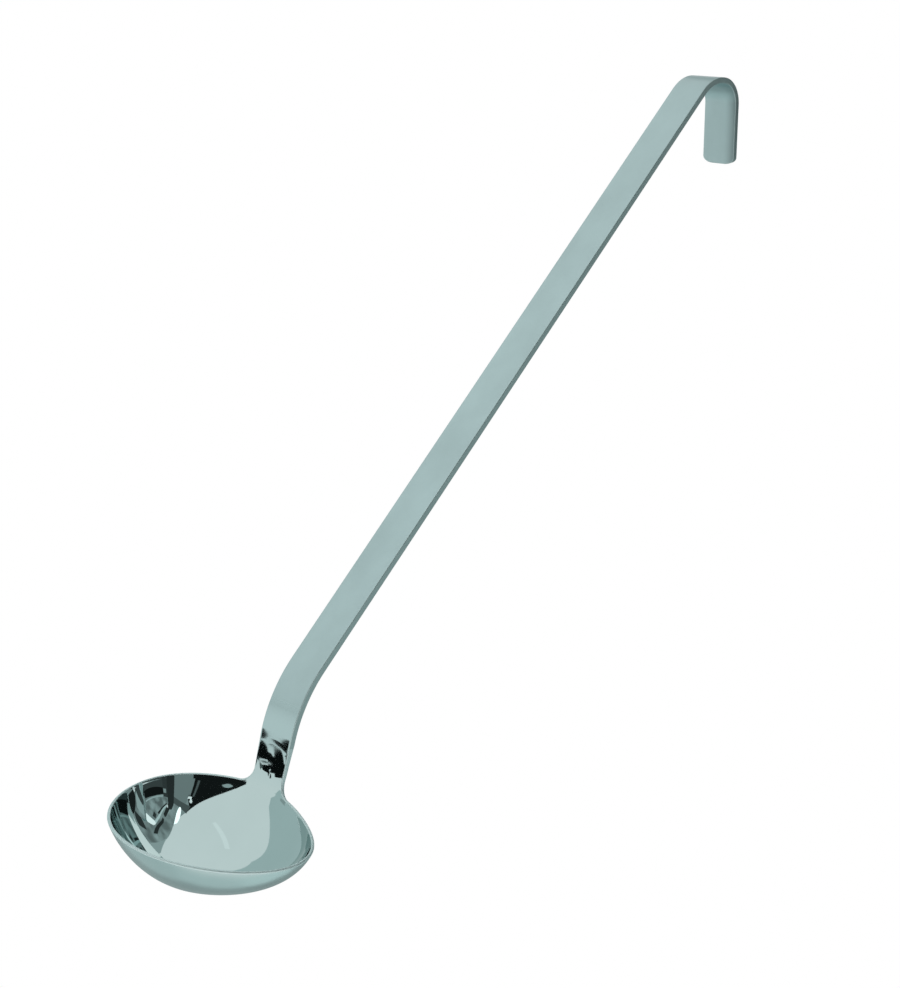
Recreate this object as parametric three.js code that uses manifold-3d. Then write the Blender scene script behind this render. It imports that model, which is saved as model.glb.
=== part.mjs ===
// A sauce ladle of stainless steel, in millimetres, +Z up.
// A pressed oval bowl runs out at its back into a neck. The neck is welded to a flat bar handle,
// which bends back above the weld, runs straight and ends in a hanging hook.
// The ladle hangs by its hook: the straight of the handle is vertical, the front of the bowl is
// towards -Y and the hook curls over towards +Y. The origin is the crown of the hook, where it
// rests on a rail.
import * as THREE from "three";
import { mergeVertices } from "three/addons/utils/BufferGeometryUtils.js";
import Module from "manifold-3d";

const { PI, abs, acos, atan2, cos, max, sin } = Math;
const { degToRad: radians, lerp, smoothstep } = THREE.MathUtils;

// Handle
const BAR_WIDTH = 16;
const BAR_THICKNESS = 2.5;
const BAR_EDGE_RADIUS = 0.3;
const HANDLE_STRAIGHT = 295.8;
const LOWER_BEND_RADIUS = 53; // of the front face
const LOWER_BEND_ANGLE = radians(32.8);

// Hook
const HOOK_START_RADIUS = 17.4; // on the inside, above the straight
const HOOK_START_TURN = radians(54);
const HOOK_CROWN_RADIUS = 9.9; // on the inside, over the crown
const HOOK_TURN = radians(129.6);
const HOOK_LEG = 25.5; // straight beyond the curl
const LEG_END_ACROSS = 4.9; // the corners of the leg are rounded off this far across
const LEG_END_ALONG = 2.9; // and this far along it

// Bowl, measured on its inside
const BOWL_WIDTH = 86; // across the handle
const BOWL_LENGTH = 54.2; // from front to back
const BOWL_DEPTH = 22.4;
const WALL = 1.2;
const LIP_RADIUS = 0.45 * WALL;
const WALL_ANGLE = radians(71.3); // of the wall to the rim plane, at the lip
const END_DROP = 4; // the lip's two ends lie this far below its front
const END_SETBACK = 7.7; // and this far behind the middle of the bowl
const FLOOR_FORWARD = 1.8; // the deepest point, in front of the middle of the bowl

// Neck
const NECK_LENGTH = 17.4; // along its front face
const NECK_RISE = radians(76); // above the rim plane, at its steepest
const NECK_SWEEP = 9.5; // height over which the wall of the bowl steepens into the neck
const NECK_BEND_RADIUS = 180; // of the front face, above the sweep
const NECK_ROOT_WIDTH = 14.9;
const NECK_ROOT_FILLET = 5.8;
const NECK_SETBACK = 4.2; // how far the back of the bowl is drawn out to the neck
const NECK_DRAW_WIDTH = 82; // width of the back wall that is drawn out
const NECK_DRAW_POWER = 1.5; // how the draw grows from the floor to the lip
const NECK_FLATTEN = 19; // height over which the hollow of the wall runs out into the flat neck

// Weld between the neck and the handle, ground flush
const WELD_LENGTH = 1.2;
const WELD_GAP = 0.1;

// Number of steps along the curved stretches
const RING_STEPS = 72;
const NECK_COLUMNS = 10;
const DEPTH_STEPS = 14;
const FILLET_STEPS = 4;
const NECK_STEPS = 4;
const LOWER_BEND_STEPS = 8;
const HOOK_START_STEPS = 8;
const HOOK_CROWN_STEPS = 6; // on each side of the crown
const CORNER_STEPS = 4;
const EDGE_STEPS = 2;

const BELOW_LOWER_BEND = NECK_LENGTH + WELD_LENGTH + 2 * WELD_GAP;
const HANDLE_RISE = NECK_RISE - (BELOW_LOWER_BEND - NECK_SWEEP) / NECK_BEND_RADIUS - LOWER_BEND_ANGLE;
const ROOT_HALF_WIDTH = NECK_ROOT_WIDTH / 2 - BAR_EDGE_RADIUS;
const BAR_HALF_WIDTH = BAR_WIDTH / 2 - BAR_EDGE_RADIUS;
const NECK_ROOT_Y = BOWL_LENGTH / 2 + NECK_SETBACK;

// The inside of the bowl, with the rim plane at z = 0. The angle runs round from +X, and depth runs
// from 0 on the floor to 1 at the lip.
function bowlPoint(angle, depth) {
  const slope = depth * WALL_ANGLE;
  const reach = sin(slope) / sin(WALL_ANGLE);
  const below = (cos(slope) - cos(WALL_ANGLE)) / (1 - cos(WALL_ANGLE));
  const endness = cos(angle) ** 2;
  const lipX = (BOWL_WIDTH / 2) * cos(angle);
  const lipY = (BOWL_LENGTH / 2) * sin(angle) + END_SETBACK * endness;
  const drawn = sin(angle) > 0 ? 1 - smoothstep(abs(lipX), 0, NECK_DRAW_WIDTH / 2) : 0;
  return new THREE.Vector3(
    reach * lipX,
    reach * (lipY + FLOOR_FORWARD) - FLOOR_FORWARD + NECK_SETBACK * drawn * depth ** NECK_DRAW_POWER,
    -BOWL_DEPTH * below - END_DROP * endness * reach ** 2,
  );
}

// The lip at the back of the bowl, at a distance from its middle.
const backLip = (x) => bowlPoint(acos(x / (BOWL_WIDTH / 2)), 1);

// How steeply the front face of the neck rises, at a height above the lip. It starts as the back
// wall of the bowl ends.
const wallTop = backLip(0).sub(bowlPoint(PI / 2, 0.999));
const WALL_RISE = atan2(wallTop.z, wallTop.y);
function neckRise(height) {
  const swept = lerp(WALL_RISE, NECK_RISE, smoothstep(height, 0, NECK_SWEEP));
  return swept - max(0, height - NECK_SWEEP) / NECK_BEND_RADIUS;
}

// Angles of the bowl's columns: evenly across the root of the neck, then evenly round the front.
function columnAngles() {
  const rootReach = ROOT_HALF_WIDTH + NECK_ROOT_FILLET;
  const rootAngle = (column) =>
    acos(((1 - (2 * column) / NECK_COLUMNS) * rootReach) / (BOWL_WIDTH / 2));
  const first = rootAngle(0);
  const last = rootAngle(NECK_COLUMNS);
  const angles = [];
  for (let column = 0; column <= NECK_COLUMNS; column++) {
    angles.push(rootAngle(column));
  }
  for (let step = 1; step < RING_STEPS; step++) {
    angles.push(lerp(last, first + 2 * PI, step / RING_STEPS));
  }
  return angles;
}

// Follows the front face of the neck, handle and hook in the YZ plane. Each station has its place,
// its height above the lip, half its width and its thickness. The top of the neck has its place and
// heading, and the crown of the hook, on its inside, has its place.
function followBar() {
  const stations = [];
  let y = NECK_ROOT_Y;
  let z = 0;
  let heading = WALL_RISE;
  let height = 0;

  const forward = (length) => {
    y += length * cos(heading);
    z += length * sin(heading);
    height += length;
  };
  const turn = (radius, angle) => {
    y += radius * (sin(heading) - sin(heading - angle));
    z += radius * (cos(heading - angle) - cos(heading));
    heading -= angle;
    height += radius * angle;
  };
  const mark = (halfWidth, thickness = BAR_THICKNESS) => {
    stations.push({ y, z, height, halfWidth, thickness });
  };
  const bend = (radius, angle, steps) => {
    for (let step = 0; step < steps; step++) {
      turn(radius, angle / steps);
      mark(BAR_HALF_WIDTH);
    }
  };
  const riseTo = (newHeight, flare = 0) => {
    heading = neckRise((height + newHeight) / 2);
    forward(newHeight - height);
    heading = neckRise(newHeight);
    const share = height / BELOW_LOWER_BEND;
    mark(lerp(ROOT_HALF_WIDTH, BAR_HALF_WIDTH, share) + flare, lerp(WALL, BAR_THICKNESS, share));
  };

  for (let step = 1; step <= FILLET_STEPS; step++) {
    const angle = ((PI / 2) * step) / FILLET_STEPS;
    riseTo(NECK_ROOT_FILLET * (1 - cos(angle)), NECK_ROOT_FILLET * (1 - sin(angle)));
  }
  for (let step = 1; step <= NECK_STEPS; step++) {
    riseTo(lerp(NECK_ROOT_FILLET, NECK_LENGTH, step / NECK_STEPS));
  }
  const neckTop = { y, z, heading };
  riseTo(BELOW_LOWER_BEND);
  bend(LOWER_BEND_RADIUS, LOWER_BEND_ANGLE, LOWER_BEND_STEPS);
  forward(HANDLE_STRAIGHT);
  mark(BAR_HALF_WIDTH);
  bend(HOOK_START_RADIUS + BAR_THICKNESS, HOOK_START_TURN, HOOK_START_STEPS);
  bend(HOOK_CROWN_RADIUS + BAR_THICKNESS, PI / 2 - HOOK_START_TURN, HOOK_CROWN_STEPS);
  const crown = { y: y + BAR_THICKNESS * sin(heading), z: z - BAR_THICKNESS * cos(heading) };
  bend(HOOK_CROWN_RADIUS + BAR_THICKNESS, HOOK_TURN - PI / 2, HOOK_CROWN_STEPS);
  forward(HOOK_LEG - LEG_END_ALONG);
  mark(BAR_HALF_WIDTH);
  const across = LEG_END_ACROSS - BAR_EDGE_RADIUS;
  const along = LEG_END_ALONG - BAR_EDGE_RADIUS;
  for (let step = 1; step <= CORNER_STEPS; step++) {
    const angle = ((PI / 2) * step) / CORNER_STEPS;
    const before = ((PI / 2) * (step - 1)) / CORNER_STEPS;
    forward(along * (sin(angle) - sin(before)));
    mark(BAR_HALF_WIDTH - across * (1 - cos(angle)));
  }
  return { stations, neckTop, crown };
}

// The front surface of the whole ladle as one sheet: its points, the thickness and the edge radius
// there, its triangles, and the loop of points round its edge.
function frontSheet(stations) {
  const points = [];
  const thickness = [];
  const edgeRadius = [];
  const triangles = [];
  const add = (point, thick, radius) => {
    thickness.push(thick);
    edgeRadius.push(radius);
    return points.push(point) - 1;
  };
  const joinRows = (lower, upper, closed) => {
    const count = lower.length;
    for (let i = 0; i < (closed ? count : count - 1); i++) {
      const next = (i + 1) % count;
      triangles.push([lower[i], upper[i], upper[next]], [lower[i], upper[next], lower[next]]);
    }
  };

  const angles = columnAngles();
  const floor = add(bowlPoint(0, 0), WALL, LIP_RADIUS);
  let ring = [];
  for (let step = 1; step <= DEPTH_STEPS; step++) {
    const below = ring;
    ring = angles.map((angle) => add(bowlPoint(angle, step / DEPTH_STEPS), WALL, LIP_RADIUS));
    if (step > 1) {
      joinRows(below, ring, true);
    } else {
      ring.forEach((index, i) => triangles.push([floor, index, ring[(i + 1) % ring.length]]));
    }
  }

  let row = ring.slice(0, NECK_COLUMNS + 1);
  const leftEdge = [];
  const rightEdge = [];
  for (const { y, z, height, halfWidth, thickness: thick } of stations) {
    const below = row;
    const hollow = 1 - smoothstep(height, 0, NECK_FLATTEN);
    const radius = lerp(BAR_EDGE_RADIUS, LIP_RADIUS, hollow);
    row = row.map((_, column) => {
      const x = (1 - (2 * column) / NECK_COLUMNS) * halfWidth;
      const lip = backLip(x);
      const point = new THREE.Vector3(x, y + hollow * (lip.y - NECK_ROOT_Y), z + hollow * lip.z);
      return add(point, thick, radius);
    });
    joinRows(below, row, false);
    rightEdge.push(row[0]);
    leftEdge.unshift(row[NECK_COLUMNS]);
  }
  const edge = [
    ...ring.slice(NECK_COLUMNS),
    ring[0],
    ...rightEdge,
    ...row.slice(1, NECK_COLUMNS),
    ...leftEdge,
  ];
  return { points, thickness, edgeRadius, triangles, edge };
}

function geometryOf(points, triangles) {
  const geometry = new THREE.BufferGeometry().setFromPoints(points);
  geometry.setIndex(triangles.flat());
  return geometry;
}

// Gives a sheet its thickness, away from its front, and rounds its edge.
function thicken({ points, thickness, edgeRadius, triangles, edge }) {
  const front = geometryOf(points, triangles);
  front.computeVertexNormals();
  const normals = points.map((_, i) => new THREE.Vector3().fromBufferAttribute(front.attributes.normal, i));
  const backOf = (index) => index + points.length;
  const solidPoints = [...points];
  points.forEach((point, i) => solidPoints.push(point.clone().addScaledVector(normals[i], -thickness[i])));
  const solidTriangles = [...triangles];
  triangles.forEach(([a, b, c]) => solidTriangles.push([backOf(a), backOf(c), backOf(b)]));

  const edgeColumns = edge.map((index, i) => {
    const ahead = points[edge[(i + 1) % edge.length]];
    const behind = points[edge[(i + edge.length - 1) % edge.length]];
    const normal = normals[index];
    const outward = ahead.clone().sub(behind).cross(normal).normalize();
    const radius = edgeRadius[index];
    const place = (out, down) => {
      const point = points[index].clone().addScaledVector(outward, out).addScaledVector(normal, -down);
      return solidPoints.push(point) - 1;
    };
    const column = [index];
    for (let step = 1; step <= EDGE_STEPS; step++) {
      const angle = ((PI / 2) * step) / EDGE_STEPS;
      column.push(place(radius * sin(angle), radius * (1 - cos(angle))));
    }
    for (let step = 0; step < EDGE_STEPS; step++) {
      const angle = ((PI / 2) * step) / EDGE_STEPS;
      column.push(place(radius * cos(angle), thickness[index] - radius * (1 - sin(angle))));
    }
    column.push(backOf(index));
    return column;
  });
  edgeColumns.forEach((column, i) => {
    const next = edgeColumns[(i + 1) % edgeColumns.length];
    for (let k = 0; k + 1 < column.length; k++) {
      solidTriangles.push([column[k], column[k + 1], next[k]], [next[k], column[k + 1], next[k + 1]]);
    }
  });
  return geometryOf(solidPoints, solidTriangles);
}

const wasm = await Module();
wasm.setup();

function solidOf(geometry) {
  const merged = mergeVertices(geometry);
  return new wasm.Manifold(
    new wasm.Mesh({
      numProp: 3,
      vertProperties: merged.attributes.position.array,
      triVerts: new Uint32Array(merged.index.array),
    }),
  );
}

function geometryOfSolid(solid) {
  const { vertProperties, triVerts } = solid.getMesh();
  const geometry = new THREE.BufferGeometry();
  geometry.setAttribute("position", new THREE.BufferAttribute(vertProperties, 3));
  geometry.setIndex(new THREE.BufferAttribute(triVerts, 1));
  geometry.computeVertexNormals();
  return geometry;
}

const polishedSteel = () =>
  new THREE.MeshStandardMaterial({ color: 0xb4c8c7, roughness: 0.1, metalness: 1 });
const satinSteel = () =>
  new THREE.MeshStandardMaterial({ color: 0xa0b6b7, roughness: 0.4, metalness: 1 });

function namedMesh(name, solid, material) {
  const mesh = new THREE.Mesh(geometryOfSolid(solid), material);
  mesh.name = name;
  return mesh;
}

const { stations, neckTop, crown } = followBar();
const whole = solidOf(thicken(frontSheet(stations)));

// Cuts across the neck, at a distance above its top.
const upNeck = new THREE.Vector3(0, cos(neckTop.heading), sin(neckTop.heading));
const neckTopDistance = upNeck.dot(new THREE.Vector3(0, neckTop.y, neckTop.z));
const above = (solid, distance) => solid.trimByPlane(upNeck.toArray(), neckTopDistance + distance);
const below = (solid, distance) =>
  solid.trimByPlane(upNeck.clone().negate().toArray(), -neckTopDistance - distance);
const weldEnd = WELD_GAP + WELD_LENGTH;

const levelLadle = new THREE.Group();
levelLadle.add(
  namedMesh("bowl", below(whole, 0), polishedSteel()),
  namedMesh("neck_weld", above(below(whole, weldEnd), WELD_GAP), polishedSteel()),
  namedMesh("handle", above(whole, weldEnd + WELD_GAP), satinSteel()),
);

// The ladle was drawn with its rim level. It hangs with the straight of its handle upright.
levelLadle.position.set(0, -crown.y, -crown.z);
const sauceLadle = new THREE.Group();
sauceLadle.add(new THREE.Group().add(levelLadle).rotateX(PI / 2 - HANDLE_RISE));

export default sauceLadle;
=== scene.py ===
"""A small stainless steel sauce ladle that hangs by its hook, in front of white.

The ladle is drawn in millimetres with its rim level, then turned and moved to the frame of the CAD
model: metres, the straight of the handle upright, the origin at the crown of the hook.
"""

import math
from collections import namedtuple

import bmesh
import bpy
import numpy as np
from mathutils import Matrix, Vector


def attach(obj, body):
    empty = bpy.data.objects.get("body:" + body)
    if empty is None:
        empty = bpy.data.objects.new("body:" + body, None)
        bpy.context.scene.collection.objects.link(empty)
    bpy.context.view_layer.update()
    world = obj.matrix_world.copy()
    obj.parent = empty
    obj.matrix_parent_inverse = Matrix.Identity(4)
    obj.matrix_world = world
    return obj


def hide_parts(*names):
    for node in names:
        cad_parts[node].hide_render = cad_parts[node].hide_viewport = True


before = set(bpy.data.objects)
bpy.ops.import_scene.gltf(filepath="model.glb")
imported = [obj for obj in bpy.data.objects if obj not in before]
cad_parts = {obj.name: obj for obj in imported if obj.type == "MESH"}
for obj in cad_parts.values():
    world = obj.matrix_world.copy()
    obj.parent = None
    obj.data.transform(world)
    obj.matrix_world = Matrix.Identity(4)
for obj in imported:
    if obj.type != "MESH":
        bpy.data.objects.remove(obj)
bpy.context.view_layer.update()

MM = 0.001

# Handle
BAR_WIDTH = 16
BAR_THICKNESS = 2.5
BAR_EDGE_RADIUS = 0.3
HANDLE_STRAIGHT = 295.8
LOWER_BEND_RADIUS = 53
LOWER_BEND_ANGLE = math.radians(32.8)

# Hook
HOOK_START_RADIUS = 17.4
HOOK_START_TURN = math.radians(54)
HOOK_CROWN_RADIUS = 9.9
HOOK_TURN = math.radians(129.6)
HOOK_LEG = 25.5
LEG_END_ACROSS = 4.9
LEG_END_ALONG = 2.9

# Bowl, measured on its inside
BOWL_WIDTH = 86
BOWL_LENGTH = 54.2
BOWL_DEPTH = 22.4
WALL = 1.2
LIP_RADIUS = 0.45 * WALL
WALL_ANGLE = math.radians(71.3)
END_DROP = 4
END_SETBACK = 7.7
FLOOR_FORWARD = 1.8

# Neck and weld
NECK_LENGTH = 17.4
NECK_RISE = math.radians(76)
NECK_SWEEP = 9.5
NECK_BEND_RADIUS = 180
NECK_ROOT_WIDTH = 14.9
NECK_ROOT_FILLET = 5.8
NECK_SETBACK = 4.2
NECK_DRAW_WIDTH = 82
NECK_DRAW_POWER = 1.5
NECK_FLATTEN = 19
WELD_WITH_GAPS = 1.4

# Number of steps along the curved stretches
RING_STEPS = 216
NECK_COLUMNS = 32
DEPTH_STEPS = 56
FILLET_STEPS = 14
NECK_STEPS = 14
LOWER_BEND_STEPS = 32
HOOK_START_STEPS = 28
HOOK_CROWN_STEPS = 20
CORNER_STEPS = 12
EDGE_STEPS = 5

BELOW_LOWER_BEND = NECK_LENGTH + WELD_WITH_GAPS
HANDLE_RISE = NECK_RISE - (BELOW_LOWER_BEND - NECK_SWEEP) / NECK_BEND_RADIUS - LOWER_BEND_ANGLE
ROOT_HALF_WIDTH = NECK_ROOT_WIDTH / 2 - BAR_EDGE_RADIUS
BAR_HALF_WIDTH = BAR_WIDTH / 2 - BAR_EDGE_RADIUS
NECK_ROOT_Y = BOWL_LENGTH / 2 + NECK_SETBACK

# Places along the front of the bar, above the lip
HOOK_BEGINS = BELOW_LOWER_BEND + LOWER_BEND_RADIUS * LOWER_BEND_ANGLE + HANDLE_STRAIGHT
CROWN_BEGINS = HOOK_BEGINS + (HOOK_START_RADIUS + BAR_THICKNESS) * HOOK_START_TURN
LEG_BEGINS = CROWN_BEGINS + (HOOK_CROWN_RADIUS + BAR_THICKNESS) * (HOOK_TURN - HOOK_START_TURN)
POLISH_ENDS = 24
SATIN_STARTS = 37

# Camera: angles to the level rim, and where the middle of the rim lies in the photo
PHOTO_WIDTH = 900
PHOTO_HEIGHT = 988
FOCAL_PIXELS = 1745.75
VIEW_AZIMUTH = math.radians(42.763)
VIEW_ELEVATION = math.radians(18.005)
VIEW_DISTANCE = 616.1
RIM_PIXEL = (198.25, 819)
SENSOR_MM = 36

# Steel. Each piece has one material for each of its sides.
SIDES = ["front", "back", "edge"]
POLISHED_COLOUR = (0.456, 0.578, 0.571)
NECK_COLOUR = (0.376, 0.51, 0.51)
SATIN_COLOUR = (0.41, 0.54, 0.543)
PAINTED_SHADE_BAND_COLOUR = (0.27, 0.37, 0.37)  # painted shade: a darker band across the bar where the polish runs out into the satin
# painted highlight: the rolled lip is lighter than the rest of the steel
LIP_HIGHLIGHT_COLOUR = (0.64, 0.78, 0.775)
LEG_PAINTED_REFLECTION = (0.12, 0.16, 0.16)  # painted dark reflection along the right edge of the hook's leg
# the same painted dark reflection, lighter, on the rounded edge of the leg
LEG_EDGE_PAINTED_REFLECTION = (0.25, 0.33, 0.33)
LEG_SHADE_STARTS = 2.2  # to the right of the bar's middle
LEG_SHADE_ENDS = 11

# Stage, in metres
FLOOR_HEIGHT = -1.4
FLOOR_RADIUS = 2.5
FLOOR_SIDES = 96
FLOOR_SHADE = 0.9
FLOOR_GLOW = 0.7  # how much of the floor's white is its own
ROOM_LIGHT = 0.72  # strength of the white room on the floor
LAMP_PLACE = (-0.3, -0.3, 0.7)
LAMP_SIZE = 0.8
LAMP_POWER = 6
WHITE = (1, 1, 1, 1)

# Cards that the steel mirrors
CARD_DISTANCE = 1.1
CARD_GAP = 0.004  # share of the distance by which each card hangs nearer than the one before it
CARD_STEPS = 16
LAMP_LEVEL = 0.9  # brighter cards are lamps and windows
DIM_COLOUR = (0.86, 1, 1, 1)
WARM_COLOUR = (1, 0.82, 0.82, 1)

# The room that the bowl mirrors: name, level of light, left and right side, bottom and top, options.
# The sides are azimuths in degrees as the camera has them, 0 towards it and minus to its left.
# The bottom and top are elevations, given at the left, the middle and the right where they change.
# A mottled card shines in soft patches. A doubled one shows only in what the steel mirrors twice.
ROOM = [
    ("grey_room_left", 0.4, -50, -30, 4, (50, 66, 82)),
    ("grey_room", 0.36, -30, 152, (4, 20, 16), 90, "mottled"),
    ("curtain_left", 0.012, -69.5, -50, (8, 3, 2), (9.5, 24.5, 50)),
    ("curtain", 0.012, -50, -43.5, 2, (44, 40, 34)),
    ("grey_wall", 0.3, -43.5, -20, 2, (42, 44, 42)),
    ("above_curtain", 0.13, -50, -20, (42, 42, 40), (53, 51, 50)),
    ("dark_column", 0.04, -20, -3, (6, 8, 10), (52, 62, 56)),
    ("dark_cupboard", 0.06, -3, 10, 12, 45),
    ("dark_floor", 0.08, 9, 75, (14, 19, 20), 30),
    ("black_band", 0.012, 9, 78, (30, 29, 30), (41, 43.5, 40)),
    ("dark_arc_left", 0.04, -10, 34, (48, 64, 71), (60, 72, 75)),
    ("dark_arc_middle", 0.03, 2, 62, (54, 63, 66), (57, 66.5, 69)),
    ("dark_arc_right", 0.04, 50, 136, (74, 73, 58), (77, 77, 64)),
    ("dark_frame", 0.05, 75, 92, 61.5, 66.5),
    ("dark_corner", 0.02, 102, 127, (18, 13, 24), (26, 33, 32)),
    ("dark_strip", 0.05, 120, 134, (34, 35, 40), (44, 48, 50)),
    ("dark_side", 0.08, 82, 98, 18, 43),
    ("lens", 0.5, -64, -59.5, (13, 11.2, 13), (13, 15, 13)),
    ("window", 2.2, -43, -30.5, (66, 50, 62), (74, 77, 80)),
    ("spot_left", 1.2, -49.5, -46.5, (36, 34, 33), (38, 38.5, 37)),
    ("spot_right", 1.2, -47.5, -43.5, (31, 31, 32), (33.5, 34, 35)),
    ("slit_left", 0.15, -49, -47.5, 10, 30),
    ("slit_right", 0.3, -45.2, -43.2, 8, (31, 30, 26)),
    ("picture", 0.4, 0, 8, 31.5, 38.5),
    ("light_line", 0.6, 12, 82, (43.5, 44.7, 42.5), (45.5, 46.7, 44.5)),
    ("light_arc", 0.8, 5, 108, (57.5, 69, 64), (60, 71.5, 67.5)),
    ("small_light", 1, -1, 4, 57, 61),
    ("doorway", 1.4, 102, 118, (52, 50, 54), (65, 66.5, 62)),
    ("door_side", 0.55, 96, 112, (22, 30, 36), (46, 50, 48)),
    ("room_end", 0.5, 150, 161, (46, 44, 46), (76, 62, 50)),
    ("faint_streak", 1.12, -104, -74, (54.8, 51.5, 45.7), (56.6, 53.3, 47.5)),
    ("grey_screen_back", 0.67, -180, -115, -8, (55, 57, 49)),
    ("grey_screen", 0.67, -115, -91, (2, 4, 12), (49, 36, 17.5)),
    ("dark_streak", 0.45, -103, -99, 5.5, 9),
    ("side_right", 0.34, 50, 150, 2, 17),
    ("side_right_low", 0.43, 50, 150, -12, 2),
    ("low_right", 0.5, 50, 150, -50, -12),
    ("low_left", 0.75, -180, -90, -88, -50),
    ("low_far", 0.88, 100, 180, -88, -50),
    ("low_side_left", 0.68, -140, -90, -56, -8),
    ("low_back_left", 0.42, -180, -140, (-61, -59, -56), -8),
    ("low_back_right", 0.38, 150, 180, (-56, -59, -61), -8),
    ("across", 0.8, -180, 40, 10, (75, 75, 46), "doubled"),
    ("across_above", 2.2, -15, 40, (56, 55, 42), (76, 84, 44), "doubled", "warm"),
]

# The same for the neck, which mirrors what hangs to its left
BELOW_NECK = [
    ("dark_right", 0.006, -95, -86.65, -7.8, (-4, -4, -3.9)),
    ("dark_block", 0.006, -95, -90.3, -7.6, -1.6),
    ("dark_left", 0.006, -86.65, -81.5, (-7.5, -6.9, -5.6), (-2.7, -3.2, -3.6)),
    ("loop", 0.12, -88, -80.5, -9, (-8, -7.3, -5.9)),
    ("loop_end", 0.14, -82.6, -79.9, (-6.5, -5.9, -3.8), (-5.2, -4.4, -2.8)),
    ("tongue", 1, -88, -86.65, (-6.4, -5.95, -5.6), (-6, -5, -3.4)),
    ("spike_left", 0.005, -87.6, -86.2, (-3.4, -2.6, 0.5), (0, 0.8, 1)),
    ("spike_right", 0.006, -86.1, -84.9, (-3.2, -3, -2.6), (-2.7, -1.2, 0.1)),
]

# The whole ladle: points with their normal and place along the bar, faces with their piece and side
Solid = namedtuple("Solid", ["points", "normals", "along", "faces", "pieces", "sides"])


def smoothstep(value, low, high):
    share = np.clip((value - low) / (high - low), 0, 1)
    return share * share * (3 - 2 * share)


def bowl_points(angles, depth):
    """One ring on the inside of the bowl. depth runs from 0 on the floor to 1 at the lip."""
    slope = depth * WALL_ANGLE
    reach = math.sin(slope) / math.sin(WALL_ANGLE)
    below = (math.cos(slope) - math.cos(WALL_ANGLE)) / (1 - math.cos(WALL_ANGLE))
    endness = np.cos(angles) ** 2
    lip_x = BOWL_WIDTH / 2 * np.cos(angles)
    lip_y = BOWL_LENGTH / 2 * np.sin(angles) + END_SETBACK * endness
    drawn = (np.sin(angles) > 0) * (1 - smoothstep(abs(lip_x), 0, NECK_DRAW_WIDTH / 2))
    x = reach * lip_x
    y = reach * (lip_y + FLOOR_FORWARD) - FLOOR_FORWARD + NECK_SETBACK * drawn * depth**NECK_DRAW_POWER
    z = -BOWL_DEPTH * below - END_DROP * endness * reach**2
    return np.stack([x, y, z], axis=1)


def back_lip(x):
    """The lip at the back of the bowl, at distances from its middle."""
    return bowl_points(np.arccos(x / (BOWL_WIDTH / 2)), 1)


def wall_rise():
    """How steeply the back wall of the bowl ends at the lip."""
    just_below = 0.999
    top = back_lip(np.zeros(1))[0] - bowl_points(np.full(1, math.pi / 2), just_below)[0]
    return math.atan2(top[2], top[1])


def neck_rise(height):
    """How steeply the front face of the neck rises. It starts as the back wall of the bowl ends."""
    swept = wall_rise() + (NECK_RISE - wall_rise()) * smoothstep(height, 0, NECK_SWEEP)
    return swept - max(0, height - NECK_SWEEP) / NECK_BEND_RADIUS


def column_angles():
    """Evenly across the root of the neck, then evenly round the front of the bowl."""
    root_reach = ROOT_HALF_WIDTH + NECK_ROOT_FILLET
    root = np.arccos(np.linspace(1, -1, NECK_COLUMNS + 1) * root_reach / (BOWL_WIDTH / 2))
    front = np.linspace(root[-1], root[0] + 2 * math.pi, RING_STEPS + 1)
    return np.concatenate([root, front[1:-1]])


class BarPen:
    """Follows the front face of the neck, handle and hook in the YZ plane, and marks stations."""

    def __init__(self):
        self.y = NECK_ROOT_Y
        self.z = 0
        self.heading = wall_rise()
        self.height = 0
        self.stations = []

    def forward(self, length):
        self.y += length * math.cos(self.heading)
        self.z += length * math.sin(self.heading)
        self.height += length

    def turn(self, radius, angle):
        after = self.heading - angle
        self.y += radius * (math.sin(self.heading) - math.sin(after))
        self.z += radius * (math.cos(after) - math.cos(self.heading))
        self.heading = after
        self.height += radius * angle

    def mark(self, half_width, thickness=BAR_THICKNESS):
        self.stations.append((self.y, self.z, self.height, half_width, thickness))

    def bend(self, radius, angle, steps):
        for _ in range(steps):
            self.turn(radius, angle / steps)
            self.mark(BAR_HALF_WIDTH)

    def rise_to(self, height, flare=0):
        """Up the neck, which gets wider and thicker towards the bar. The flare widens its root."""
        self.heading = neck_rise((self.height + height) / 2)
        self.forward(height - self.height)
        self.heading = neck_rise(height)
        share = height / BELOW_LOWER_BEND
        half_width = ROOT_HALF_WIDTH + share * (BAR_HALF_WIDTH - ROOT_HALF_WIDTH)
        self.mark(half_width + flare, WALL + share * (BAR_THICKNESS - WALL))

    def round_end(self):
        """Narrows to the rounded end of the hook's leg."""
        across = LEG_END_ACROSS - BAR_EDGE_RADIUS
        along = LEG_END_ALONG - BAR_EDGE_RADIUS
        before = 0
        for angle in np.linspace(0, math.pi / 2, CORNER_STEPS + 1)[1:]:
            self.forward(along * (math.sin(angle) - before))
            before = math.sin(angle)
            self.mark(BAR_HALF_WIDTH - across * (1 - math.cos(angle)))


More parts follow.
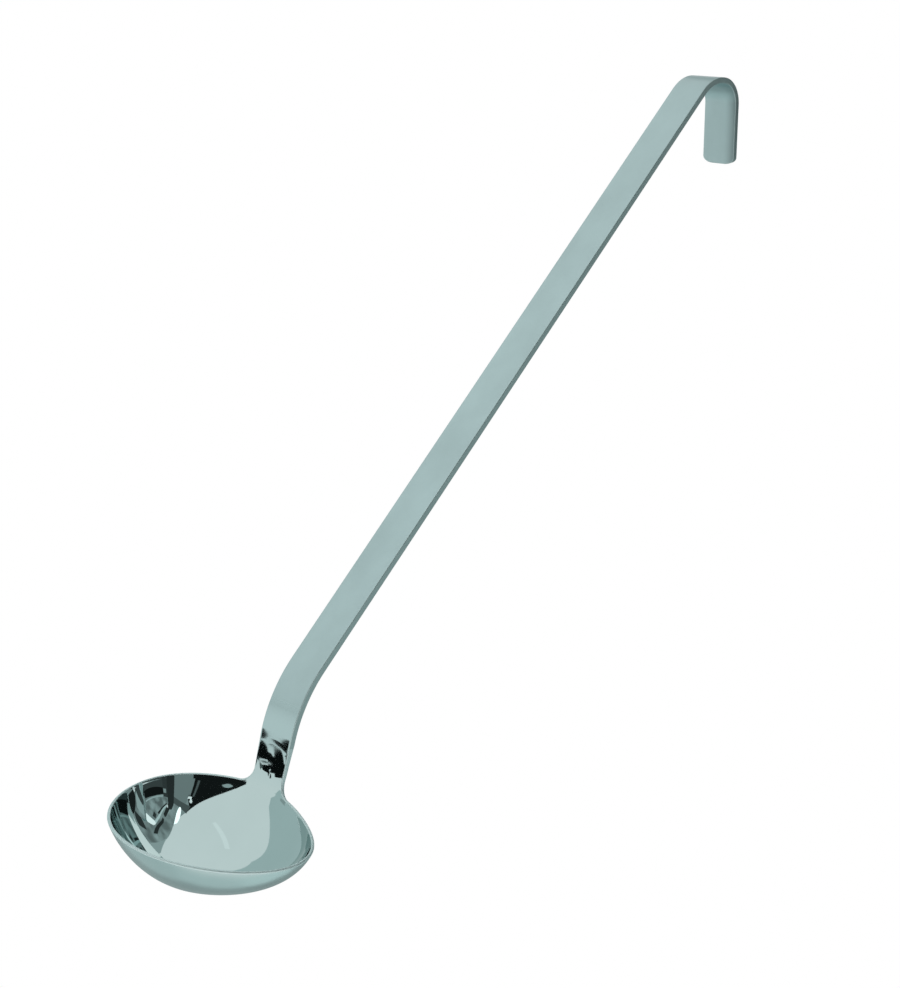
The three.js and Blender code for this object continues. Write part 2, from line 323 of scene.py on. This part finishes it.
def follow_bar():
    """The stations up the bar, how many of them are on the neck, and the crown of the hook."""
    pen = BarPen()
    for angle in np.linspace(0, math.pi / 2, FILLET_STEPS + 1)[1:]:
        pen.rise_to(NECK_ROOT_FILLET * (1 - math.cos(angle)), NECK_ROOT_FILLET * (1 - math.sin(angle)))
    for height in np.linspace(NECK_ROOT_FILLET, NECK_LENGTH, NECK_STEPS + 1)[1:]:
        pen.rise_to(height)
    neck_stations = len(pen.stations)
    pen.rise_to(BELOW_LOWER_BEND)
    pen.bend(LOWER_BEND_RADIUS, LOWER_BEND_ANGLE, LOWER_BEND_STEPS)
    pen.forward(HANDLE_STRAIGHT)
    pen.mark(BAR_HALF_WIDTH)
    pen.bend(HOOK_START_RADIUS + BAR_THICKNESS, HOOK_START_TURN, HOOK_START_STEPS)
    pen.bend(HOOK_CROWN_RADIUS + BAR_THICKNESS, math.pi / 2 - HOOK_START_TURN, HOOK_CROWN_STEPS)
    crown = (
        pen.y + BAR_THICKNESS * math.sin(pen.heading),
        pen.z - BAR_THICKNESS * math.cos(pen.heading),
    )
    pen.bend(HOOK_CROWN_RADIUS + BAR_THICKNESS, HOOK_TURN - math.pi / 2, HOOK_CROWN_STEPS)
    pen.forward(HOOK_LEG - LEG_END_ALONG)
    pen.mark(BAR_HALF_WIDTH)
    pen.round_end()
    return pen.stations, neck_stations, crown


class Sheet:
    """The front surface of the whole ladle: points with their thickness, edge radius and place along
    the bar, faces with the piece each belongs to, and the loop of points round the edge."""

    def __init__(self):
        self.points = []
        self.thickness = []
        self.edge_radius = []
        self.along = []
        self.faces = []
        self.face_piece = []
        self.edge = []

    def add_row(self, points, thickness, edge_radius, along):
        first = len(self.points)
        self.points.extend(points)
        self.thickness.extend([thickness] * len(points))
        self.edge_radius.extend([edge_radius] * len(points))
        self.along.extend([along] * len(points))
        return list(range(first, first + len(points)))

    def join_rows(self, lower, upper, piece, closed=False):
        count = len(lower)
        for i in range(count if closed else count - 1):
            after = (i + 1) % count
            self.faces.append((upper[i], upper[after], lower[after], lower[i]))
            self.face_piece.append(piece)

    def join_point(self, point, ring, piece):
        self.faces.extend((point, a, b) for a, b in zip(ring, ring[1:] + ring[:1]))
        self.face_piece.extend([piece] * len(ring))


def add_bowl(sheet):
    """The rings of the bowl, from its floor up. Returns the ring at the lip."""
    angles = column_angles()
    floor = sheet.add_row(bowl_points(angles[:1], 0), WALL, LIP_RADIUS, 0)[0]
    ring = []
    for step in range(1, DEPTH_STEPS + 1):
        below = ring
        ring = sheet.add_row(bowl_points(angles, step / DEPTH_STEPS), WALL, LIP_RADIUS, 0)
        if below:
            sheet.join_rows(below, ring, "bowl", closed=True)
        else:
            sheet.join_point(floor, ring, "bowl")
    return ring


def piece_below(station, neck_stations):
    """The piece that the bar is part of just below a station."""
    if station < neck_stations:
        return "bowl"
    return "neck_weld" if station == neck_stations else "handle"


def add_bar(sheet, ring, stations, neck_stations):
    """The rows of the bar, up from the lip, and then the edge of the whole sheet. The hollow that the
    neck has from the back of the bowl runs out into the flat bar."""
    row = ring[:NECK_COLUMNS + 1]
    across = np.linspace(1, -1, NECK_COLUMNS + 1)
    left_edge, right_edge = [], []
    for i, (y, z, height, half_width, thickness) in enumerate(stations):
        below = row
        hollow = 1 - smoothstep(height, 0, NECK_FLATTEN)
        radius = BAR_EDGE_RADIUS + hollow * (LIP_RADIUS - BAR_EDGE_RADIUS)
        lip = back_lip(across * half_width)
        flattened = lip + (1 - hollow) * ((0, NECK_ROOT_Y, 0) - lip) * (0, 1, 1)
        row = sheet.add_row(flattened + (0, y - NECK_ROOT_Y, z), thickness, radius, height)
        sheet.join_rows(below, row, piece_below(i, neck_stations))
        right_edge.append(row[0])
        left_edge.insert(0, row[-1])
    sheet.edge = ring[NECK_COLUMNS:] + ring[:1] + right_edge + row[1:-1] + left_edge


def smooth_normals(points, faces):
    """The normal at each point, from the faces around it. A triangle has its last corner twice."""
    corners = np.array([(*face, face[-1])[:4] for face in faces])
    a, b, c = (points[corners[:, i]] for i in (0, 1, 3))
    across = np.cross(b - a, c - a)
    normals = np.zeros_like(points)
    for i in range(4):
        np.add.at(normals, corners[:, i], across)
    return normals / np.linalg.norm(normals, axis=1, keepdims=True)


def rounded_edge(front, normal, outward, radius, thickness):
    """The points from the front round the edge to the back, without these two."""
    quarter = np.linspace(0, math.pi / 2, EDGE_STEPS + 1)
    upper = [(radius * math.sin(angle), radius * (1 - math.cos(angle))) for angle in quarter[1:]]
    lower = [(out, thickness - down) for out, down in upper[::-1]]
    return [front + out * outward - down * normal for out, down in upper + lower]


def thicken(sheet):
    """Gives the sheet its thickness, away from its front, and rounds its edge."""
    front = np.array(sheet.points)
    normals = smooth_normals(front, sheet.faces)
    thickness = np.array(sheet.thickness)[:, None]
    count = len(front)
    points = list(front) + list(front - thickness * normals)
    along = sheet.along * 2
    faces = sheet.faces + [tuple(i + count for i in face[::-1]) for face in sheet.faces]
    pieces = sheet.face_piece * 2
    sides = ["front"] * len(sheet.faces) + ["back"] * len(sheet.faces)

    piece_of_edge = {}
    for face, piece in zip(sheet.faces, sheet.face_piece):
        for a, b in zip(face, face[1:] + face[:1]):
            piece_of_edge[a, b] = piece

    columns = []
    next_on_edge = sheet.edge[1:] + sheet.edge[:1]
    for i, index in enumerate(sheet.edge):
        normal = normals[index]
        outward = np.cross(front[next_on_edge[i]] - front[sheet.edge[i - 1]], normal)
        outward /= np.linalg.norm(outward)
        radius = sheet.edge_radius[index]
        rounding = rounded_edge(front[index], normal, outward, radius, sheet.thickness[index])
        columns.append([index, *range(len(points), len(points) + len(rounding)), index + count])
        points.extend(rounding)
        along.extend([sheet.along[index]] * len(rounding))
    for i, (column, after) in enumerate(zip(columns, columns[1:] + columns[:1])):
        piece = piece_of_edge[sheet.edge[i], next_on_edge[i]]
        for k in range(len(column) - 1):
            faces.append((column[k], column[k + 1], after[k + 1], after[k]))
            pieces.append(piece)
            sides.append("edge")
    points = np.array(points)
    return Solid(points, smooth_normals(points, faces), along, faces, pieces, sides)


def level_to_frame(crown):
    """From the level ladle, in millimetres, to the hanging ladle, in metres."""
    turn = Matrix.Rotation(math.pi / 2 - HANDLE_RISE, 4, "X")
    return Matrix.Scale(MM, 4) @ turn @ Matrix.Translation((0, -crown[0], -crown[1]))


def mesh_from(build, name):
    mesh = bpy.data.meshes.new(name)
    build.to_mesh(mesh)
    build.free()
    return mesh


def add_object(name, data):
    thing = bpy.data.objects.new(name, data)
    bpy.context.scene.collection.objects.link(thing)
    return thing


def piece_mesh(name, solid, to_frame):
    """One piece of the ladle as a closed mesh, shaded as part of the whole."""
    own = [i for i, piece in enumerate(solid.pieces) if piece == name]
    used = sorted({vertex for i in own for vertex in solid.faces[i]})
    place = {vertex: i for i, vertex in enumerate(used)}
    build = bmesh.new()
    for vertex in used:
        build.verts.new(to_frame @ Vector(solid.points[vertex]))
    build.verts.ensure_lookup_table()
    for i in own:
        face = build.faces.new([build.verts[place[vertex]] for vertex in solid.faces[i]])
        face.material_index = SIDES.index(solid.sides[i])
    cut = [edge for edge in build.edges if edge.is_boundary]
    bmesh.ops.holes_fill(build, edges=cut)
    mesh = mesh_from(build, name)

    turn = to_frame.to_3x3().normalized()
    loop_normals = []
    uv = mesh.uv_layers.new(name="Bar").data
    for polygon in mesh.polygons:
        polygon.use_smooth = True
        capped = polygon.index >= len(own)
        for loop in polygon.loop_indices:
            vertex = used[mesh.loops[loop].vertex_index]
            uv[loop].uv = (solid.points[vertex][0] * MM, solid.along[vertex] * MM)
            loop_normals.append(polygon.normal if capped else turn @ Vector(solid.normals[vertex]))
    mesh.normals_split_custom_set(loop_normals)
    return mesh


def make_piece(name, solid, to_frame, materials):
    mesh = piece_mesh(name, solid, to_frame)
    for material in materials:
        mesh.materials.append(material)
    piece = add_object("visual_" + name, mesh)
    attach(piece, "root")
    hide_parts(name)
    return piece


class Nodes:
    """Adds nodes to one node tree. An input is a value, or another node's output."""

    def __init__(self, tree):
        self.tree = tree

    def set(self, node, inputs):
        for name, value in inputs.items():
            self.set_socket(node.inputs[name], value)

    def set_socket(self, socket, value):
        if isinstance(value, bpy.types.NodeSocket):
            self.tree.links.new(value, socket)
        else:
            socket.default_value = value

    def add(self, kind, inputs, **settings):
        node = self.tree.nodes.new("ShaderNode" + kind)
        for name, value in settings.items():
            setattr(node, name, value)
        self.set(node, inputs)
        return node.outputs

    def noise(self, place, stretch, detail=2):
        """Soft noise from 0 to 1. stretch is the number of features in a metre along each axis."""
        place = self.add("Mapping", {"Vector": place, "Scale": stretch})["Vector"]
        return self.add("TexNoise", {"Vector": place, "Scale": 1, "Detail": detail})["Fac"]

    def spread(self, value, low, high, start=0, end=1, smooth=False):
        """Turns start into low and end into high, and stays within them."""
        limits = {"Value": value, "From Min": start, "From Max": end, "To Min": low, "To Max": high}
        course = "SMOOTHSTEP" if smooth else "LINEAR"
        return self.add("MapRange", limits, interpolation_type=course)["Result"]

    def mix(self, factor, start, end):
        """From one colour to another by a factor from 0 to 1."""
        node = self.tree.nodes.new("ShaderNodeMix")
        node.data_type = "RGBA"
        colours = [socket for socket in node.inputs if socket.type == "RGBA"]
        for socket, value in zip(colours, (start, end)):
            self.set_socket(socket, value)
        self.tree.links.new(factor, node.inputs["Factor"])
        return next(socket for socket in node.outputs if socket.type == "RGBA")

    def shades(self, factor, colour, darkest, lightest):
        """A colour that is darker or lighter by a factor from 0 to 1."""
        start, end = ((*(channel * level for channel in colour), 1) for level in (darkest, lightest))
        return self.mix(factor, start, end)


def new_steel(name):
    """An empty steel: its nodes, its shader, the place in the frame and the place along the bar."""
    material = bpy.data.materials.new(name)
    material.use_nodes = True
    nodes = Nodes(material.node_tree)
    shader = material.node_tree.nodes["Principled BSDF"]
    shader.inputs["Metallic"].default_value = 1
    place = nodes.add("TexCoord", {})["Object"]
    bar = nodes.add("UVMap", {}, uv_map="Bar")["UV"]
    return material, nodes, shader, place, bar


def bump(nodes, height, strength, depth):
    return nodes.add("Bump", {"Height": height, "Strength": strength, "Distance": depth})["Normal"]


def polished_steel():
    """Mirror polish with faint cloudy patches and hair-fine buffing lines, a little duller up the neck."""
    material, nodes, shader, place, bar = new_steel("polished_steel")
    clouds = nodes.noise(place, (70, 70, 70), detail=4)
    buffing = nodes.noise(place, (220, 2600, 2600))
    along = nodes.add("SeparateXYZ", {"Vector": bar})["Y"]
    bright = nodes.shades(clouds, POLISHED_COLOUR, 0.965, 1.035)
    nodes.set(shader, {
        "Base Color": nodes.mix(nodes.spread(along, 0, 1, 0, NECK_LENGTH * MM), bright, (*NECK_COLOUR, 1)),
        "Roughness": nodes.spread(clouds, 0.015, 0.045),
        "Normal": bump(nodes, buffing, 0.02, 0.01 * MM),
    })
    return material


def buffed_steel():
    """The outside of the bowl: buffed round, softer than the mirror inside."""
    material, nodes, shader, place, _ = new_steel("buffed_steel")
    clouds = nodes.noise(place, (90, 90, 90), detail=4)
    buffing = nodes.noise(place, (160, 1800, 3200), detail=3)
    nodes.set(shader, {
        "Base Color": nodes.shades(clouds, POLISHED_COLOUR, 0.93, 1.03),
        "Roughness": nodes.spread(clouds, 0.2, 0.3),
        "Normal": bump(nodes, buffing, 0.06, 0.02 * MM),
    })
    return material


def shade_leg(nodes, bar, colour, painted_reflection):
    """Paints a dark reflection over a colour, in a soft band on the right of the hook's leg."""
    across, along, _ = nodes.add("SeparateXYZ", {"Vector": bar})
    aside = nodes.spread(across, 0, 1, LEG_SHADE_STARTS * MM, LEG_SHADE_ENDS * MM, smooth=True)
    on_leg = nodes.spread(along, 0, 1, CROWN_BEGINS * MM, LEG_BEGINS * MM, smooth=True)
    shade = nodes.add("Math", {0: aside, 1: on_leg}, operation="MULTIPLY")["Value"]
    return nodes.mix(shade, colour, (*painted_reflection, 1))


def satin_steel(name, polish_ends, satin_starts, painted_reflection=None):
    """Brushed along the bar, with soft patches, running out into the polish above the weld, where a band
    of painted shade lies across it.
    """
    material, nodes, shader, place, bar = new_steel(name)
    patches = nodes.noise(place, (60, 60, 45), detail=5)
    strokes = nodes.noise(bar, (5200, 70, 1), detail=4)
    along = nodes.add("SeparateXYZ", {"Vector": bar})["Y"]
    satin = nodes.spread(along, 0, 1, polish_ends * MM, satin_starts * MM, smooth=True)
    grain = nodes.add("Math", {0: strokes, 1: satin}, operation="MULTIPLY")["Value"]
    brushed = nodes.shades(patches, SATIN_COLOUR, 0.87, 1.13)
    # Painted dark reflection on the hook's leg, when one is given
    if painted_reflection:
        brushed = shade_leg(nodes, bar, brushed, painted_reflection)
    # Painted shade: a darker band across the bar, strongest halfway from the polish to the satin
    band = nodes.add("Math", {0: satin, 1: 0.5}, operation="PINGPONG")["Value"]
    nodes.set(shader, {
        "Base Color": nodes.mix(band, nodes.mix(satin, (*NECK_COLOUR, 1), brushed), (*PAINTED_SHADE_BAND_COLOUR, 1)),
        "Roughness": nodes.spread(satin, 0.03, 0.36),
        "Normal": bump(nodes, grain, 0.12, 0.03 * MM),
        "Anisotropic": 0.4,
        "Tangent": nodes.add("Tangent", {}, direction_type="UV_MAP", uv_map="Bar")["Tangent"],
    })
    return material


def edge_steel(name, colour, smoothest, roughest, painted_reflection=None):
    """The narrow edges, ground smooth and a little brighter where hands wear them. The lip's lighter
    colour is a painted highlight, and a painted dark reflection can lie on the hook's leg.
    """
    material, nodes, shader, place, bar = new_steel(name)
    wear = nodes.noise(place, (140, 140, 60), detail=3)
    wear_and_painted_light = nodes.shades(wear, colour, 0.86, 1)
    # Painted dark reflection on the hook's leg, when one is given
    if painted_reflection:
        wear_and_painted_light = shade_leg(nodes, bar, wear_and_painted_light, painted_reflection)
    nodes.set(shader, {
        "Base Color": wear_and_painted_light,
        "Roughness": nodes.spread(wear, smoothest, roughest),
        "Normal": bump(nodes, nodes.noise(place, (900, 900, 300)), 0.05, 0.02 * MM),
    })
    return material


def camera_turn(to_frame):
    """The camera's right, up and back. It stands upright to the level rim."""
    back = Vector((
        math.sin(VIEW_AZIMUTH) * math.cos(VIEW_ELEVATION),
        -math.cos(VIEW_AZIMUTH) * math.cos(VIEW_ELEVATION),
        math.sin(VIEW_ELEVATION),
    ))
    right = Vector((math.cos(VIEW_AZIMUTH), math.sin(VIEW_AZIMUTH), 0))
    level = Matrix((right, back.cross(right), back)).transposed()
    return to_frame.to_3x3().normalized() @ level


def place_camera(to_frame, turn):
    """Looks at the ladle as the photo does. The sensor spans the photo's longer side, its height."""
    pixel = VIEW_DISTANCE / FOCAL_PIXELS * MM
    aside = (PHOTO_WIDTH / 2 - RIM_PIXEL[0]) * pixel
    raised = (RIM_PIXEL[1] - PHOTO_HEIGHT / 2) * pixel
    place = to_frame.translation + turn @ Vector((aside, raised, VIEW_DISTANCE * MM))
    data = bpy.data.cameras.new("camera")
    data.sensor_width = SENSOR_MM
    data.lens = FOCAL_PIXELS / PHOTO_HEIGHT * SENSOR_MM
    data.clip_start = 0.01
    camera = add_object("camera", data)
    camera.matrix_world = Matrix.Translation(place) @ turn.to_4x4()
    bpy.context.scene.camera = camera


def light_room():
    """A room that is white to the camera and in the steel, and lights the floor more softly."""
    world = bpy.data.worlds.new("white_room")
    bpy.context.scene.world = world
    world.use_nodes = True
    nodes = Nodes(world.node_tree)
    rays = nodes.add("LightPath", {})
    seen = rays["Is Camera Ray"]
    for kind in ("Is Glossy Ray", "Is Transmission Ray"):
        seen = nodes.add("Math", {0: seen, 1: rays[kind]}, operation="MAXIMUM")["Value"]
    background = world.node_tree.nodes["Background"]
    nodes.set(background, {"Color": WHITE, "Strength": nodes.spread(seen, ROOM_LIGHT, 1)})


def pale_floor():
    """Matt and pale with a glow of its own, and white in the steel."""
    material = bpy.data.materials.new("pale_floor")
    material.use_nodes = True
    nodes = Nodes(material.node_tree)
    shader = material.node_tree.nodes["Principled BSDF"]
    nodes.set(shader, {"Base Color": (FLOOR_SHADE, FLOOR_SHADE, FLOOR_SHADE, 1), "Roughness": 0.9})
    glow = nodes.add("Emission", {"Color": WHITE, "Strength": 1})["Emission"]
    glowing = nodes.spread(nodes.add("LightPath", {})["Is Glossy Ray"], FLOOR_GLOW, 1)
    seen = nodes.add("MixShader", {0: glowing, 1: shader.outputs["BSDF"], 2: glow})["Shader"]
    nodes.set(material.node_tree.nodes["Material Output"], {"Surface": seen})
    return material


def lay_floor():
    """A round floor that keeps the ladle's shadow."""
    build = bmesh.new()
    bmesh.ops.create_circle(build, cap_ends=True, radius=FLOOR_RADIUS, segments=FLOOR_SIDES)
    mesh = mesh_from(build, "floor")
    mesh.materials.append(pale_floor())
    floor = add_object("floor", mesh)
    floor.location.z = FLOOR_HEIGHT


def hang_lamp():
    """A soft lamp that shines down on the ladle and the floor. The steel doesn't mirror it."""
    data = bpy.data.lights.new("top", "AREA")
    data.shape = "SQUARE"
    data.size = LAMP_SIZE
    data.energy = LAMP_POWER
    lamp = add_object("top", data)
    lamp.location = LAMP_PLACE
    below = Vector((0, 0, FLOOR_HEIGHT))
    lamp.rotation_euler = (Vector(LAMP_PLACE) - below).to_track_quat("Z", "Y").to_euler()
    lamp.visible_camera = False
    lamp.visible_glossy = False


def card_colour(level, options):
    """The dim room is a little blue-green, and lamps are white. The steel tints a doubled card twice,
    so that one is white, or warm where it is bright."""
    if "warm" in options:
        return WARM_COLOUR
    if "doubled" in options or level > LAMP_LEVEL:
        return WHITE
    return DIM_COLOUR


def card_surface(name, level, options):
    """Shines evenly or in soft patches, on every reflection or from the second on."""
    material = bpy.data.materials.new(name)
    material.use_nodes = True
    nodes = Nodes(material.node_tree)
    strength = level
    if "mottled" in options:
        place = nodes.add("TexCoord", {})["Object"]
        strength = nodes.spread(nodes.noise(place, (4, 4, 4)), 0.6 * level, 1.4 * level, 0.35, 0.65)
    shine = nodes.add("Emission", {"Color": card_colour(level, options), "Strength": strength})["Emission"]
    if "doubled" in options:
        # The depth is 1 in the first reflection and 2 in the second
        depth = nodes.add("LightPath", {})["Glossy Depth"]
        second = nodes.add("Math", {0: depth, 1: 1.5}, operation="GREATER_THAN")["Value"]
        clear = nodes.add("BsdfTransparent", {})["BSDF"]
        shine = nodes.add("MixShader", {0: second, 1: clear, 2: shine})["Shader"]
    nodes.set(material.node_tree.nodes["Material Output"], {"Surface": shine})
    return material


def toward(azimuth, elevation):
    """A direction as the camera has it: right, up and back. The angles are in degrees."""
    azimuth, elevation = math.radians(azimuth), math.radians(elevation)
    flat = math.cos(elevation)
    return Vector((math.sin(azimuth) * flat, math.sin(elevation), math.cos(azimuth) * flat))


def height_at(share, heights):
    """On a curve through the heights at the left, the middle and the right, or on a level line."""
    left, middle, right = np.broadcast_to(heights, 3)
    in_middle = 4 * share * (1 - share)
    return (1 - share) * (1 - 2 * share) * left + in_middle * middle + share * (2 * share - 1) * right


def hang_card(turn, centre, distance, card):
    """A card that the steel mirrors, as part of a ball round the centre."""
    name, level, left, right, low, high, *options = card
    build = bmesh.new()
    columns = []
    for share in np.linspace(0, 1, CARD_STEPS + 1):
        azimuth = left + share * (right - left)
        elevations = np.linspace(height_at(share, low), height_at(share, high), CARD_STEPS + 1)
        places = [centre + turn @ toward(azimuth, elevation) * distance for elevation in elevations]
        columns.append([build.verts.new(place) for place in places])
    for before, after in zip(columns, columns[1:]):
        for i in range(CARD_STEPS):
            build.faces.new((before[i], after[i], after[i + 1], before[i + 1]))
    mesh = mesh_from(build, name)
    mesh.materials.append(card_surface(name, level, options))
    hung = add_object(name, mesh)
    hung.visible_camera = False
    hung.visible_diffuse = False
    hung.visible_shadow = False


def hang_cards(turn, centre, cards):
    """Each card hangs a little in front of the ones before it."""
    for i, card in enumerate(cards):
        hang_card(turn, centre, CARD_DISTANCE * (1 - CARD_GAP * i), card)


bpy.context.scene.view_settings.view_transform = "Standard"
stations, neck_stations, crown = follow_bar()
sheet = Sheet()
add_bar(sheet, add_bowl(sheet), stations, neck_stations)
solid = thicken(sheet)
to_frame = level_to_frame(crown)
polished = polished_steel()
buffed = buffed_steel()
satin = satin_steel("satin_steel", POLISH_ENDS, SATIN_STARTS)
satin_back = satin_steel("satin_back", 0, BELOW_LOWER_BEND, LEG_PAINTED_REFLECTION)
# The lip's lighter colour is a painted highlight along the rolled lip
lip = edge_steel("lip_steel_painted_highlight", LIP_HIGHLIGHT_COLOUR, smoothest=0.5, roughest=0.62)
edge = edge_steel("edge_steel", POLISHED_COLOUR, smoothest=0.28, roughest=0.42, painted_reflection=LEG_EDGE_PAINTED_REFLECTION)
for name, materials, slot in (
    ("bowl", [polished, buffed, lip], "polished_steel"),
    ("neck_weld", [polished, buffed, edge], "polished_steel"),
    ("handle", [satin, satin_back, edge], "satin_steel"),
):
    make_piece(name, solid, to_frame, materials)

turn = camera_turn(to_frame)
place_camera(to_frame, turn)
light_room()
lay_floor()
hang_lamp()
bowl_middle = to_frame @ Vector((0, 0, -BOWL_DEPTH / 2))
neck_middle = to_frame @ Vector((0, NECK_ROOT_Y, NECK_LENGTH / 2))
hang_cards(turn, bowl_middle, ROOM)
hang_cards(turn, neck_middle, BELOW_NECK)
